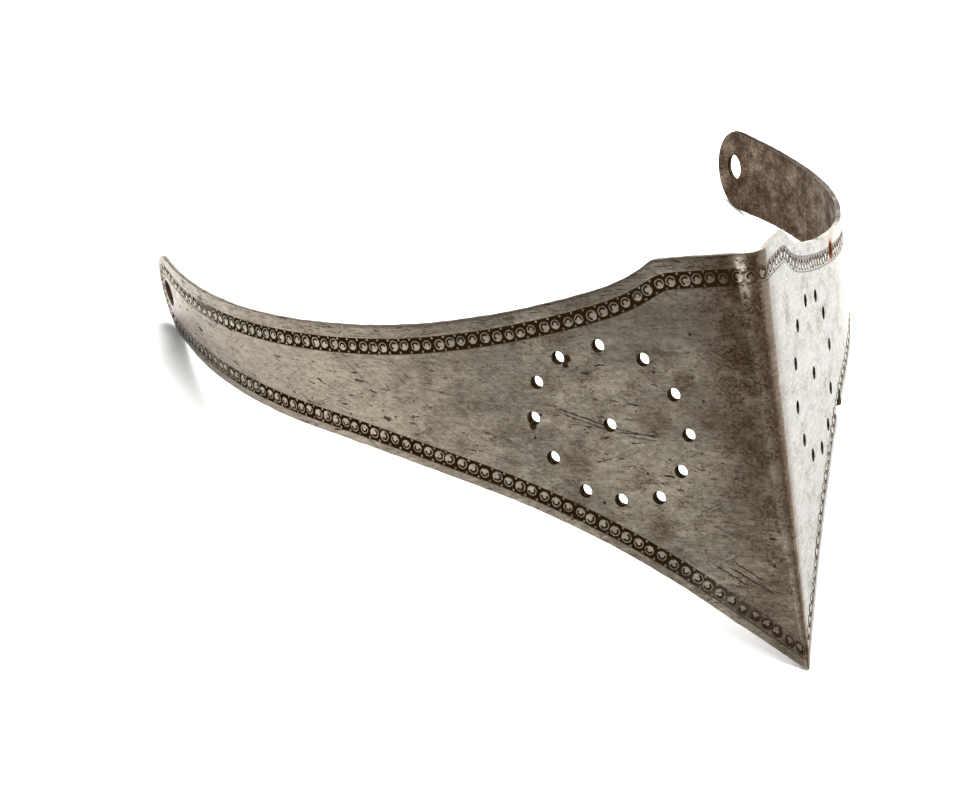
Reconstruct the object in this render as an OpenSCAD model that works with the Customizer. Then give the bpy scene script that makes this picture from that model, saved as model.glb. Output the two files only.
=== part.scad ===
// Ventail (upper bevor) of a close helmet: one forged plate with a keeled front, two pierced
// cheeks and two arms that wrap back round the head to the helmet's pivots.
// Millimetres. It lies as it rests on a table: on the chin and on the rounded ends of both arms.
// +Z is up, the keel faces -Y, the wearer's left is +X. The origin is on the table, at the middle
// of the plate's length and width.
// The shape is first drawn as worn, with the keel upright and the chin at the origin.

/* [Plate] */
// Thickness of the plate
plate_t = 1.4; // [0.8:0.1:2.4]
// Angle between each flat cheek and the middle plane
cheek_angle = 40; // [34:1:48]

/* [Keel] */
// Height of the keel from the chin to the sight edge
keel_h = 107; // [95:1:125]
// Outer radius of the keel at the sight edge
keel_r_top = 5.5; // [4:0.1:7]
// Outer radius of the keel at the chin
keel_r_chin = 0.8; // [0.4:0.1:1.5]
// How far the keel stands proud of the flat cheeks, as a part of its radius
keel_proud = 0.05; // [0.02:0.01:0.1]

/* [Bend and arms] */
// Length of the flat cheek, from the keel to the start of the bend
cheek_len = 79; // [72:1:95]
// Outer radius of the bend round the side of the head
bend_r = 166; // [135:1:200]
// Angle that the bend turns through
bend_angle = 43; // [36:1:50]
// Tilt of the bend's axis back from the keel, so that the plate is narrower at the jaw
bend_tilt = 6; // [0:0.5:9]

/* [Upper edge] */
// Slope of the raised sight edge, down from the keel to its corners
sight_slope = 2.2; // [0:0.1:5]
// Radius of the step down from the corner
step_r = 30; // [22:1:40]
// Distance from the keel back to the end of the step
step_end = 33; // [29:0.5:40]
// Radius of the edge in front of its lowest point
front_r = 170; // [140:1:210]
// Distance from the keel back to the edge's lowest point
low_back = 86.3; // [75:0.1:100]
// Height of the edge's lowest point above the chin
low_h = 90.6; // [87:0.1:93]

/* [Lower edge] */
// Slope of the straight lower edge at the chin, on the wearer's right
chin_slope = 41.6; // [36:0.1:50]
// The same on the wearer's left, where the edge has been filed back a little higher
chin_slope_left = 43.2; // [36:0.1:50]
// Slope of the straight lower edge under the arm, on the wearer's right
tail_slope = 9.7; // [5:0.1:12]
// The same on the wearer's left
tail_slope_left = 7; // [5:0.1:12]
// Radius of the lower edge under the cheek, between those two straight stretches
lower_r = 178; // [140:1:220]

/* [Arm tabs] */
// Distance from the chin back to the centre of the rounded tab
tab_back = 192; // [175:1:215]
// Height of that centre above the chin
tab_up = 87.2; // [82:0.1:92]
// Radius of the rounded tab
tab_r = 12.8; // [11:0.1:15]
// Diameter of the pivot hole
pivot_d = 8; // [5:0.1:11]
// How far the pivot hole lies behind the tab's centre
pivot_shift_back = 2.5; // [0:0.1:4]
// How far the pivot hole lies above the tab's centre
pivot_shift_up = 1; // [-2:0.1:3]

/* [Breaths] */
// Number of breaths in each ring, besides the one in the middle
breath_count = 12; // [6:1:14]
// Diameter of one breath
breath_d = 3.4; // [2.4:0.1:4.5]
// Radius of the ring of breaths
ring_r = 20.8; // [14:0.1:22]
// Distance of the ring's centre behind the keel, along the cheek
ring_back = 45.6; // [40:0.1:50]
// Height of the ring's centre above the chin
ring_up = 63.8; // [60:0.1:68]

/* [Catch, on the wearer's left only] */
// Diameter of the catch hole
catch_d = 4.4; // [2:0.1:5]
// Distance of the catch hole behind the keel, along the cheek
catch_back = 84.5; // [72:0.1:88]
// Depth of the catch hole's centre below the upper edge's lowest point
catch_drop = 3.4; // [3:0.1:12]
// Distance from the chin back to the front of the notch in the lower edge
notch_back = 52; // [40:0.5:70]
// Length of the notch, measured straight back
notch_len = 6; // [3:0.5:12]
// Depth of the notch
notch_depth = 5; // [2:0.1:8]

/* [Hidden] */
$fn = 96;
steel = [0.56, 0.54, 0.50];

// The breaths were pricked out by eye: degrees that each lies off its even place, and millimetres
// that it lies off the circle. The lists repeat where a ring has more breaths.
swing_right = [5, 1, -4, -1, 4, 7, 7, 4, 0, -1, -2, 3];
swing_left = [3, -2, -6, 1, 9, 8, 5, 0, -4, -2, 1, 3];
stray_right = [0.4, 1.1, 0.5, -0.2, -0.4, -0.7, 0.5, 0.7, 1.1, -1, -1, -1.6];
stray_left = [2.6, 2, 0.6, -1.4, 0, 1.2, 2.9, 2.6, 1.2, -0.8, -0.9, 0.4];

// Room that cutting shapes reach past the plate
spare = 4;
reach = 2 * tab_back;
// Hair's breadth that a rounded stretch passes its tangent neighbours, and the angle that the bend
// runs on past its ends, so that they meet in one clean line
hair = 0.002;
bend_lap = 0.6;

// Keel: a slim cone whose axis leans back, so that it meets both cheeks from chin to sight edge
keel_taper = atan((keel_r_top - keel_r_chin) / keel_h);
keel_lean = asin((1 - keel_proud) * sin(keel_taper) / sin(cheek_angle));
keel_apex_down = keel_r_chin / tan(keel_taper);
keel_len = keel_apex_down + keel_h + 4 * spare;
keel_inner_start = plate_t / sin(keel_taper);
// The keel wraps this far each way from its front, a little past where the cheeks meet it
keel_past = 2;
keel_wrap = 90 - cheek_angle + acos(1 - keel_proud) + keel_past;
// Outer faces of both cheeks meet in a line this far in front of the chin
cheek_meet = keel_r_chin * (1 / sin(cheek_angle) - 1);
// Planes through the cone's point: the cheeks start at one, inside the keel, and the keel ends at
// the other, inside the cheeks
cheek_start_lean = keel_lean * cos(cheek_angle) ^ 2;
keel_end_lean = keel_lean - keel_taper * cos(keel_wrap);

// Plate height needed along the tilted bend axis
wall_low = -3 * spare;
wall_high = keel_h + (cheek_len + bend_r) * tan(bend_tilt) + spare;
arm_run = tab_back / 2;

// Upper edge: step, front and rear arcs meet tangentially. Points are [back, up].
front_c = [low_back, low_h + front_r];
step_end_up = front_c.y - sqrt(front_r ^ 2 - (low_back - step_end) ^ 2);
step_c = [step_end, step_end_up] + (front_c - [step_end, step_end_up]) * step_r / front_r;

// Tab: the rear arc of the upper edge touches it
tab_c = [tab_back, tab_up];
tab_from_low = tab_c - [low_back, low_h];
rear_r = (tab_from_low * tab_from_low - tab_r ^ 2) / (2 * (tab_from_low.y + tab_r));
rear_c = [low_back, low_h + rear_r];
rear_turn = atan2(tab_c.x - rear_c.x, rear_c.y - tab_c.y);
tab_top = tab_c + tab_r * [-sin(rear_turn), cos(rear_turn)];

// Lower edge: straight at the chin, an arc under the cheek, and a straight tail that touches the tab.
// Each side's edge is given by its two slopes: [at the chin, under the arm].
right_edge = [chin_slope, tail_slope];
left_edge = [chin_slope_left, tail_slope_left];
function tab_bottom(edge) = tab_c + tab_r * [sin(edge[1]), -cos(edge[1])];
// Where the two straight stretches would meet, and how far from there the arc touches them
function edge_corner(edge) = let (foot = tab_bottom(edge))
    (foot.y - foot.x * tan(edge[1])) / (tan(edge[0]) - tan(edge[1])) * [1, tan(edge[0])];
function arc_touch(edge) = lower_r * tan((edge[0] - edge[1]) / 2);
function chin_end(edge) = edge_corner(edge) - arc_touch(edge) * [cos(edge[0]), sin(edge[0])];
function tail_start(edge) = edge_corner(edge) + arc_touch(edge) * [cos(edge[1]), sin(edge[1])];
function lower_c(edge) = chin_end(edge) + lower_r * [sin(edge[0]), -cos(edge[0])];
function lower_up(edge, back) = lower_c(edge).y + sqrt(lower_r ^ 2 - (back - lower_c(edge).x) ^ 2);

// Pivot hole in the side view, and its place along the flat tab and up the bend's axis
pivot = tab_c + [pivot_shift_back, pivot_shift_up];
tab_u = cheek_len + bend_r * sin(bend_angle);
tab_w = bend_r * (1 - cos(bend_angle));
pivot_run = (pivot.x + cheek_meet - tab_w * sin(cheek_angle)
    - cos(cheek_angle) * (tab_u / cos(bend_tilt) + pivot.y * tan(bend_tilt)))
    / (cos(cheek_angle) * cos(bend_angle) / cos(bend_tilt) + sin(cheek_angle) * sin(bend_angle));
pivot_rise = (pivot.y + (tab_u + pivot_run * cos(bend_angle)) * sin(bend_tilt)) / cos(bend_tilt);

// Pose at rest: the line under the chin and the tabs lies on the table
rest_lean = atan2(tab_c.y, tab_c.x) - asin(tab_r / norm(tab_c));
rest_length = tab_c.x * cos(rest_lean) + tab_c.y * sin(rest_lean) + tab_r;

// Scoop out of the upper edge between two distances behind the keel
module scoop(centre, radius, from, to) {
    intersection() {
        translate(centre)
            circle(r = radius);
        translate([from, 0])
            square([to - from, reach]);
    }
}

// Turns a side view into a block from the middle plane out to the wearer's left
module across() {
    rotate([90, 0, 90])
        linear_extrude(height = reach)
            children();
}

// Block with one half's side view: straight edges first, then scooped, then with the tab's end
module half_block(edge) {
    difference() {
        across()
            polygon([[-spare, -spare * tan(edge[0])], chin_end(edge), tail_start(edge),
                tab_bottom(edge), tab_top, [tab_top.x, keel_h],
                [step_end, keel_h - step_end * tan(sight_slope)], [0, keel_h], [-spare, keel_h]]);
        across()
            scoop(step_c, step_r + hair, 0, step_end + spare);
        across()
            scoop(front_c, front_r + hair, step_end, low_back + spare);
        across()
            scoop(rear_c, rear_r, low_back, tab_top.x);
        across()
            translate(lower_c(edge))
                circle(r = lower_r + hair);
    }
    across()
        translate(tab_c)
            circle(r = tab_r + hair);
}

// Puts children on the wearer's left cheek: x along it from the keel, y into it, z up the keel
module on_cheek() {
    translate([0, -cheek_meet, 0])
        rotate([0, 0, 90 - cheek_angle])
            children();
}

// Puts children on the flat tab: x along it from the bend, y into it, z up the bend's axis
module on_tab() {
    on_cheek()
        rotate([0, bend_tilt, 0])
            translate([cheek_len, bend_r, 0])
                rotate([0, 0, bend_angle])
                    translate([0, -bend_r, 0])
                        children();
}

// Flat cheek, bend and flat arm of the wearer's left between two depths below the outer face
module side_layer(from, to) {
    height = wall_high - wall_low;
    on_cheek() rotate([0, bend_tilt, 0]) {
        translate([-reach, from, wall_low])
            cube([reach + cheek_len, to - from, height]);
        translate([cheek_len, bend_r, wall_low])
            rotate([0, 0, -90 - bend_lap])
                rotate_extrude(angle = bend_angle + 2 * bend_lap)
                    translate([bend_r - to, 0])
                        square([to - from + hair, height]);
    }
    on_tab()
        translate([0, from, wall_low])
            cube([arm_run, to - from, height]);
}

// The wearer's left side of the plate, before its edges are cut
module side_wall() {
    difference() {
        side_layer(0, 2 * plate_t);
        side_layer(plate_t, 3 * plate_t);
    }
}

// Puts children at the point of the keel's cone, leaning back
module at_keel_point(lean) {
    translate([0, -cheek_meet, -keel_apex_down])
        rotate([-lean, 0, 0])
            children();
}

// The wearer's left of the middle plane, behind the start of the cheeks
module left_cheek_room() {
    at_keel_point(cheek_start_lean)
        translate([0, 0, -reach])
            cube([reach, reach, 2 * reach]);
}

// Rounded keel, solid
module keel_round() {
    start = keel_apex_down / 2;
    difference() {
        at_keel_point(keel_lean)
            translate([0, 0, start])
                cylinder(h = keel_len - start,
                    r1 = start * tan(keel_taper), r2 = keel_len * tan(keel_taper));
        at_keel_point(keel_end_lean)
            translate([-reach, 0, -reach])
                cube(2 * reach);
    }
}

// Hollow behind the keel, that leaves the plate's thickness
module keel_hollow() {
    length = keel_len - keel_inner_start + spare;
    at_keel_point(keel_lean)
        translate([0, 0, keel_inner_start + spare])
            cylinder(h = length - spare, r1 = spare * tan(keel_taper), r2 = length * tan(keel_taper));
}

// Notch in the lower edge and the catch hole near the upper edge, both on the wearer's left
module catch_cuts() {
    notch_end = notch_back + notch_len;
    across()
        polygon([[notch_back, 0], [notch_end, 0],
            [notch_end, lower_up(left_edge, notch_end) + notch_depth],
            [notch_back, lower_up(left_edge, notch_back) + notch_depth]]);
    on_cheek()
        translate([catch_back, plate_t / 2, low_h - catch_drop])
            rotate([90, 0, 0])
                cylinder(h = 2 * spare, d = catch_d, center = true);
}

// One ring of breaths through the wearer's left cheek
module breath_ring(swing, stray) {
    on_cheek()
        translate([ring_back, plate_t / 2, ring_up])
            rotate([90, 0, 0]) {
                cylinder(h = 2 * spare, d = breath_d, center = true);
                for (i = [0 : breath_count - 1])
                    rotate([0, 0, 360 * i / breath_count + swing[i % len(swing)]])
                        translate([ring_r + stray[i % len(stray)], 0, 0])
                            cylinder(h = 2 * spare, d = breath_d, center = true);
            }
}

// Pivot hole through the wearer's left tab
module pivot_hole() {
    on_tab()
        translate([pivot_run, plate_t / 2, pivot_rise])
            rotate([90, 0, 0])
                cylinder(h = 2 * spare, d = pivot_d, center = true);
}

// One half of the plate, upright as it is worn
module worn_half(edge, swing, stray) {
    difference() {
        intersection() {
            union() {
                keel_round();
                intersection() {
                    side_wall();
                    left_cheek_room();
                }
            }
            half_block(edge);
        }
        keel_hollow();
        breath_ring(swing, stray);
        pivot_hole();
    }
}

// The plate upright, as it is worn
module worn_plate() {
    difference() {
        worn_half(left_edge, swing_left, stray_left);
        catch_cuts();
    }
    mirror([1, 0, 0])
        worn_half(right_edge, swing_right, stray_right);
}

// The whole plate, laid down on the chin and both tabs
module face_plate() {
    color(steel)
        translate([0, -rest_length / 2, 0])
            rotate([-rest_lean, 0, 0])
                worn_plate();
}

face_plate();
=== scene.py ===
"""Looks of a ventail, the keeled lower face guard of a close helmet: old brushed steel with an etched
border of rings.

The plate is drawn on a flat pattern, one half at a time, the way a smith cuts it from sheet: p runs back
along the cheek from the keel, q runs up the keel, and plate_point() folds the pattern into shape. Sizes
are in millimetres and radians, and MM turns them into metres where a mesh is made.
"""

from functools import partial, reduce
from math import acos, asin, atan2, cos, pi, radians, sin, tan

import bmesh
import bpy
import numpy as np
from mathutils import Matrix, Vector
from mathutils.geometry import delaunay_2d_cdt


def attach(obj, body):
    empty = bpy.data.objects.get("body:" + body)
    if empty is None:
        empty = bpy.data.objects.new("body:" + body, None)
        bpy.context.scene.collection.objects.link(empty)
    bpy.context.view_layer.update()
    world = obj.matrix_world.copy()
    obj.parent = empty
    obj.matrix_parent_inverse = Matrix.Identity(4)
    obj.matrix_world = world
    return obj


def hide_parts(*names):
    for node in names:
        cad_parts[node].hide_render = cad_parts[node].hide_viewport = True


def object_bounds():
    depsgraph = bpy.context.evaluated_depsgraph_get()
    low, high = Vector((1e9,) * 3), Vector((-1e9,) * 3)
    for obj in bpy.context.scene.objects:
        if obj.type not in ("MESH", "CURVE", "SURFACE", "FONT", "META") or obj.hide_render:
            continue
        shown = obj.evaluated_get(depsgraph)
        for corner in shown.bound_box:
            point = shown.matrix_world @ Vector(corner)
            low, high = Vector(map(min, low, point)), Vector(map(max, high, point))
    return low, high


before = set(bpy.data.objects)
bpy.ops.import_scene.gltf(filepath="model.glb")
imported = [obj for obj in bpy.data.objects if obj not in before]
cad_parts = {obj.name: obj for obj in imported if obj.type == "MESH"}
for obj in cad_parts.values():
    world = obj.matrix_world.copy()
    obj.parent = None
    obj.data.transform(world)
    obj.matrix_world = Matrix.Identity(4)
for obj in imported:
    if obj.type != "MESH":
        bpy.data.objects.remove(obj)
cad_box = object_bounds()

PIECE = "Face_plate"
MM = 0.001
LEFT, RIGHT = 1, -1

# Plate, keel, bend and arms
PLATE_T = 1.4
CHEEK_ANGLE = radians(40)
KEEL_H = 107.0
KEEL_R_TOP = 5.5
KEEL_R_CHIN = 0.8
KEEL_R_LEAST = 0.1
KEEL_PROUD = 0.05
KEEL_FADE = 4.0
CHEEK_LEN = 79.0
BEND_R = 166.0
BEND_ANGLE = radians(43)
BEND_TILT = radians(6)

# Upper edge, in the side view
SIGHT_SLOPE = radians(2.2)
STEP_R = 30.0
STEP_END = 33.0
FRONT_R = 170.0
LOW_BACK = 86.3
LOW_H = 90.6

# Lower edge: slope at the chin and under the arm on each side, and the radius between them
EDGE_SLOPES = {LEFT: (radians(43.2), radians(7.0)), RIGHT: (radians(41.6), radians(9.7))}
LOWER_R = 178.0

# Round ends of the arms
TAB = np.array([192.0, 87.2])
TAB_R = 12.8
PIVOT_SHIFT = np.array([2.5, 1.0])
PIVOT_R = 4.0

# Breaths: each was pricked out by eye, a few degrees and tenths of a millimetre off its even place
BREATH_R = 1.7
RING_R = 20.8
RING_AT = np.array([45.6, 63.8])
RING_SWING = {
    LEFT: [3, -2, -6, 1, 9, 8, 5, 0, -4, -2, 1, 3],
    RIGHT: [5, 1, -4, -1, 4, 7, 7, 4, 0, -1, -2, 3],
}
RING_STRAY = {
    LEFT: [2.6, 2, 0.6, -1.4, 0, 1.2, 2.9, 2.6, 1.2, -0.8, -0.9, 0.4],
    RIGHT: [0.4, 1.1, 0.5, -0.2, -0.4, -0.7, 0.5, 0.7, 1.1, -1, -1, -1.6],
}

# Catch hole and notch, on the wearer's left only
CATCH_AT = np.array([84.5, LOW_H - 3.4])
CATCH_R = 2.2
NOTCH_BACK, NOTCH_LEN, NOTCH_DEPTH = 52.0, 6.0, 5.0

# Etched border: plain margins outside it, its width, and the pitch of its rings
MARGIN_TOP, MARGIN_END, MARGIN_LOW = 3.7, 1.4, 2.5
BORDER_W = 4.3
RING_PITCH = 3.47
DISC_R = 1.36
ETCH_DEPTH = 0.09
ETCH_SLOPE = 0.3

# Unevenness: the hammer's waves as (radians for each millimetre of x, y and z, start), and dents as
# (half, p, q, radius, depth)
HAMMER_DEPTH = 0.06
HAMMER_WAVES = [((0.11, 0.07, 0.0), 0.0), ((0.0, 0.13, -0.09), 2.0), ((0.05, 0.0, 0.17), 0.0)]
DENTS = [(LEFT, 21.3, 86.8, 2.2, 0.3)]

# Rounded edge, flare of the holes, lips inside the breaths, and reach of the cutters
EDGE_ROUND = 0.35
EDGE_TURNS = np.radians([0, 45, 90])
STEEPEST_CUT = 1.2
FLARE, FLARE_OUT, CUT_REACH = 0.15, 0.75, 0.6
LIP_H, LIP_SINK, LIP_FOOT, LIP_TIP = 1.1, 0.3, 0.5, 0.2
NOTCH_REACH = (20.0, 110.0)

# Fineness of the mesh
EDGE_STEP = 0.36
CHIN_STEP, CHIN_REACH = 0.14, 6.0
MARGIN_ROWS = 4
BORDER_ROWS = 12
FACE_STEP = 1.8
KEEL_STEP = 0.9
KEEL_COLUMNS = 10
RIM_GAP = 0.5
HOLE_SIDES = 40
SHARP_TURN = radians(60)
WELD = 0.0005
TAB_POINTS, EDGE_POINTS = 200, 4000

# How places on the pattern are solved for, and how a face is divided into triangles
SOLVE_STEPS, SOLVE_PROBE, SOLVE_REACH, LEAST_GAIN = 60, 0.001, 20.0, 0.2
TRIANGLES_INSIDE, TRIANGLE_EPSILON = 1, 1e-9

# Parts of the surface, each with a material of its own
OUTER, EDGE, INNER, HOLE, RUSTY = range(5)

# Marks on the steel, with p below zero on the wearer's right: rust spots and pits as (place, radius),
# stains with a strength too, scratches as (start, end, half width) and hairlines as (turn, grain)
RUST_SPOTS = [((-55.0, 81.2), 0.9), ((-55.6, 79.6), 0.7), ((-67.2, 63.6), 0.8)]
STAINS = [
    ((-24.0, 74.6), 2.2, 0.8), ((-17.4, 65.5), 3.2, 0.7), ((-35.2, 37.2), 2.4, 0.8),
    ((-56.2, 53.4), 3.2, 0.6), ((-33.1, 65.5), 3.6, 0.6), ((-11.0, 46.2), 1.4, 0.8),
]
PITS = [
    ((-31.7, 77.6), 0.35), ((-20.7, 87.0), 0.35), ((-19.3, 70.0), 0.3), ((-5.9, 27.6), 0.35),
    ((-36.8, 51.2), 0.3), ((-50.0, 43.4), 0.35), ((-64.5, 66.6), 0.3), ((-67.1, 60.5), 0.3),
]
SCRATCHES = [
    ((-60.4, 68.5), (-44.0, 62.8), 0.22), ((-48.7, 64.0), (-31.0, 60.1), 0.2),
    ((-58.5, 66.9), (-46.5, 62.6), 0.2), ((-44.0, 62.0), (-31.5, 60.9), 0.2),
    ((-42.0, 61.0), (-32.5, 59.6), 0.16), ((-18.4, 27.2), (-6.0, 19.7), 0.26),
    ((-17.0, 28.6), (-8.5, 23.2), 0.22), ((-22.0, 27.6), (-13.0, 21.8), 0.22),
    ((-54.3, 87.3), (-48.4, 82.6), 0.08), ((-31.7, 84.0), (-26.2, 79.2), 0.08),
    ((-39.5, 48.8), (-34.2, 48.6), 0.09),
]
HAIRLINES = [
    (radians(-38), (16.0, 0.5)), (radians(24), (16.0, 0.5)), (radians(-12), (22.0, 0.4)),
]
CATCH_STAIN = 2.6

# Colours, as linear red, green and blue, and the shine of what isn't metal
STEEL_DARK = (0.112, 0.099, 0.080)
STEEL = (0.198, 0.174, 0.140)
STEEL_WARM = (0.212, 0.181, 0.142)
STEEL_GREY = (0.115, 0.112, 0.105)
STEEL_WORN = (0.40, 0.36, 0.30)
# STEEL_BRIGHT: worn steel with a painted highlight, for the bright strip on the keel's near half
STEEL_BRIGHT = (0.64, 0.55, 0.44)
PATINA = (0.064, 0.037, 0.020)
PATINA_DARK = (0.020, 0.010, 0.005)
PIT = (0.018, 0.012, 0.008)
ETCHED = (0.019, 0.010, 0.003)
RUST = (0.36, 0.13, 0.045)
RUST_DARK = (0.035, 0.016, 0.007)
RUST_BROWN = (0.12, 0.05, 0.018)
SCALE_DARK = (0.016, 0.009, 0.005)
SCALE_BROWN = (0.056, 0.033, 0.019)
SCALE_GREY = (0.135, 0.090, 0.057)
# HOLE_DARK is partly dark scale and partly painted shade: the hole walls are kept near black to stand in for
# the shade inside the breaths and pivot holes
HOLE_DARK, HOLE_BROWN = (0.006, 0.004, 0.002), (0.055, 0.033, 0.016)
SHINE = 0.0

# Etched border: radius of the C in each ring, and distance of the dots from the border's middle
ARC_R = 0.82
DOT_AT = 1.7

# Camera, with lengths in millimetres
LENS, SENSOR = 94.69, 36.0
CAMERA_FROM_CHIN = (-267.5, -405.2, 407.3)
CAMERA_TURN, CAMERA_RISE = radians(23.78), radians(34.4)

# Lights as (name, place, size, power, colour), and the place they face, in metres
LIGHTS = [
    ("Key_light", (0.3, 0.26, 0.9), 0.9, 33.5, (1.0, 0.99, 0.97)),
    ("Side_light", (0.95, -0.55, 0.3), 1.3, 11.0, (0.95, 0.98, 1.0)),
    ("Front_light", (0.35, -0.95, 0.85), 0.6, 9.0, (1.0, 1.0, 1.0)),
]
LIGHTS_FACE = (0, 0, 0.04)

# Floor, in metres, with a light of its own that grows over FLOOR_FADE, and the world
FLOOR_R, FLOOR_SIDES = 4.0, 96
FLOOR_FADE, FLOOR_GLOW = (0.6, 1.6), (0.06, 0.9)
FLOOR_GRAIN = ((2 * MM, 2 * MM), 0.0, 3.0)
FLOOR_COLOUR, FLOOR_LIGHT = (0.89, 0.89, 0.88), (0.93, 0.93, 0.92)
FLOOR_ROUGHNESS, FLOOR_RELIEF = 0.9, 0.02
WORLD_COLOUR = (0.98, 0.99, 1.0)
WORLD_LIGHT, WORLD_SEEN = 0.2, 1.0

# Values that follow from those sizes
KEEL_RISE = acos(1 - KEEL_PROUD)
KEEL_TURN = pi / 2 - CHEEK_ANGLE + KEEL_RISE
KEEL_START = (1 - KEEL_PROUD) / tan(CHEEK_ANGLE) + sin(KEEL_RISE)
CHEEK_MEET = KEEL_R_CHIN * (1 / sin(CHEEK_ANGLE) - 1)
REST_LEAN = atan2(TAB[1], TAB[0]) - asin(TAB_R / np.hypot(*TAB))
REST_LENGTH = TAB[0] * cos(REST_LEAN) + TAB[1] * sin(REST_LEAN) + TAB_R


# Shape of the plate


def keel_radius(q, depth):
    """Radius of the rounded keel at height q, on the face that lies depth below the outer one."""
    radius = KEEL_R_CHIN + (KEEL_R_TOP - KEEL_R_CHIN) * q / KEEL_H
    return np.maximum(radius - depth, KEEL_R_LEAST)


def keel_span(q):
    """Pattern places of the middle plane and of the crease where the keel meets the flat cheek."""
    start = keel_radius(q, 0) * KEEL_START
    return start - keel_radius(q, 0) * KEEL_TURN, start


def plate_point(p, q, depth):
    """Points of the wearer's left half, as worn, for places on the pattern and depths below its face."""
    sin_a, cos_a = sin(CHEEK_ANGLE), cos(CHEEK_ANGLE)
    sin_t, cos_t = sin(BEND_TILT), cos(BEND_TILT)
    middle, start = keel_span(q)
    radius = keel_radius(q, depth)
    turn = np.clip((p - middle) / (start - middle), -1, 1) * KEEL_TURN
    centre = depth / sin_a - CHEEK_MEET + (1 - KEEL_PROUD) * radius / sin_a
    keel = np.stack([radius * np.sin(turn), centre - radius * np.cos(turn), q + 0 * p], -1)

    deep_start = depth * cos_a / sin_a + radius * KEEL_START
    along = p + (deep_start - start) * np.clip(1 - (p - start) / KEEL_FADE, 0, 1)
    across, up = along * cos_t - q * sin_t, along * sin_t + q * cos_t
    bend = np.clip((across - CHEEK_LEN) / BEND_R, 0, BEND_ANGLE)
    arm = np.maximum(across - CHEEK_LEN - BEND_R * BEND_ANGLE, 0)
    run = np.minimum(across, CHEEK_LEN) + (BEND_R - depth) * np.sin(bend) + arm * cos(BEND_ANGLE)
    inward = BEND_R - (BEND_R - depth) * np.cos(bend) + arm * sin(BEND_ANGLE)
    back, rise = run * cos_t + up * sin_t, up * cos_t - run * sin_t
    side = np.stack([back * sin_a - inward * cos_a, back * cos_a + inward * sin_a - CHEEK_MEET, rise], -1)
    return np.where((p < start)[..., None], keel, side)


def at_rest(points, side):
    """Points of a half as it lies on the table, in millimetres in the part's frame."""
    x, y, z = np.moveaxis(points, -1, 0)
    sin_l, cos_l = sin(REST_LEAN), cos(REST_LEAN)
    return np.stack([side * x, y * cos_l + z * sin_l - REST_LENGTH / 2, z * cos_l - y * sin_l], -1)


def on_pattern(back, up):
    """Places on the pattern whose outer points have these coordinates in the side view."""
    p, q = back / cos(CHEEK_ANGLE), up + 0.0
    for _ in range(SOLVE_STEPS):
        here = plate_point(p, q, 0.0)
        gain = (plate_point(p + SOLVE_PROBE, q, 0.0)[..., 1] - here[..., 1]) / SOLVE_PROBE
        p = p + np.clip((back - here[..., 1]) / np.maximum(gain, LEAST_GAIN), -SOLVE_REACH, SOLVE_REACH)
        q = q + up - here[..., 2]
    return np.stack([p, q], -1)


# Outline of the plate, in the side view and on the pattern


def arc_up(centre, radius, back, sign):
    """Height of an arc above or below its centre, at distances back."""
    return centre[1] + sign * np.sqrt(np.maximum(radius**2 - (back - centre[0]) ** 2, 0))


FRONT_C = np.array([LOW_BACK, LOW_H + FRONT_R])
STEP_FOOT = np.array([STEP_END, arc_up(FRONT_C, FRONT_R, STEP_END, -1)])
STEP_C = STEP_FOOT + (FRONT_C - STEP_FOOT) * STEP_R / FRONT_R
TAB_FROM_LOW = TAB - np.array([LOW_BACK, LOW_H])
REAR_R = (TAB_FROM_LOW @ TAB_FROM_LOW - TAB_R**2) / (2 * (TAB_FROM_LOW[1] + TAB_R))
REAR_C = np.array([LOW_BACK, LOW_H + REAR_R])
REAR_TURN = atan2(TAB[0] - REAR_C[0], REAR_C[1] - TAB[1])


def upper_up(back):
    """Height of the upper edge: sight edge, step, front arc and rear arc."""
    step = np.minimum(arc_up(STEP_C, STEP_R, back, -1), KEEL_H - back * tan(SIGHT_SLOPE))
    front = np.where(back < STEP_END, step, arc_up(FRONT_C, FRONT_R, back, -1))
    return np.where(back < LOW_BACK, front, arc_up(REAR_C, REAR_R, back, -1))


def lower_edge(side):
    """The lower edge's height as a function of the distance back, and its slope at the tab."""
    chin, tail = EDGE_SLOPES[side]
    foot = TAB + TAB_R * np.array([sin(tail), -cos(tail)])
    corner_back = (foot[1] - foot[0] * tan(tail)) / (tan(chin) - tan(tail))
    touch = LOWER_R * tan((chin - tail) / 2)
    chin_end = corner_back - touch * cos(chin)
    tail_start = corner_back + touch * cos(tail)
    across_arc = LOWER_R * np.array([sin(chin), -cos(chin)])
    centre = np.array([chin_end, chin_end * tan(chin)]) + across_arc

    def up(back):
        tail_up = foot[1] + (back - foot[0]) * tan(tail)
        return np.where(back < chin_end, back * tan(chin),
                        np.where(back < tail_start, arc_up(centre, LOWER_R, back, 1), tail_up))

    return up, tail


def edge_at(up, p):
    """Pattern places of an edge at distances p, where up gives its height in the side view."""
    q = up(p * cos(CHEEK_ANGLE))
    for _ in range(SOLVE_STEPS):
        here = plate_point(p, q, 0.0)
        q = q + up(here[..., 1]) - here[..., 2]
    return np.stack([p, q], -1)


def lengths(line):
    """Distance along a line of points to each of them."""
    return np.append(0, np.cumsum(np.linalg.norm(np.diff(line, axis=0), axis=1)))


def even(line, step):
    """The same line with points a step apart."""
    s = lengths(line)
    new = np.linspace(0, s[-1], int(round(s[-1] / step)) + 1)
    return np.stack([np.interp(new, s, c) for c in line.T], -1)


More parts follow.
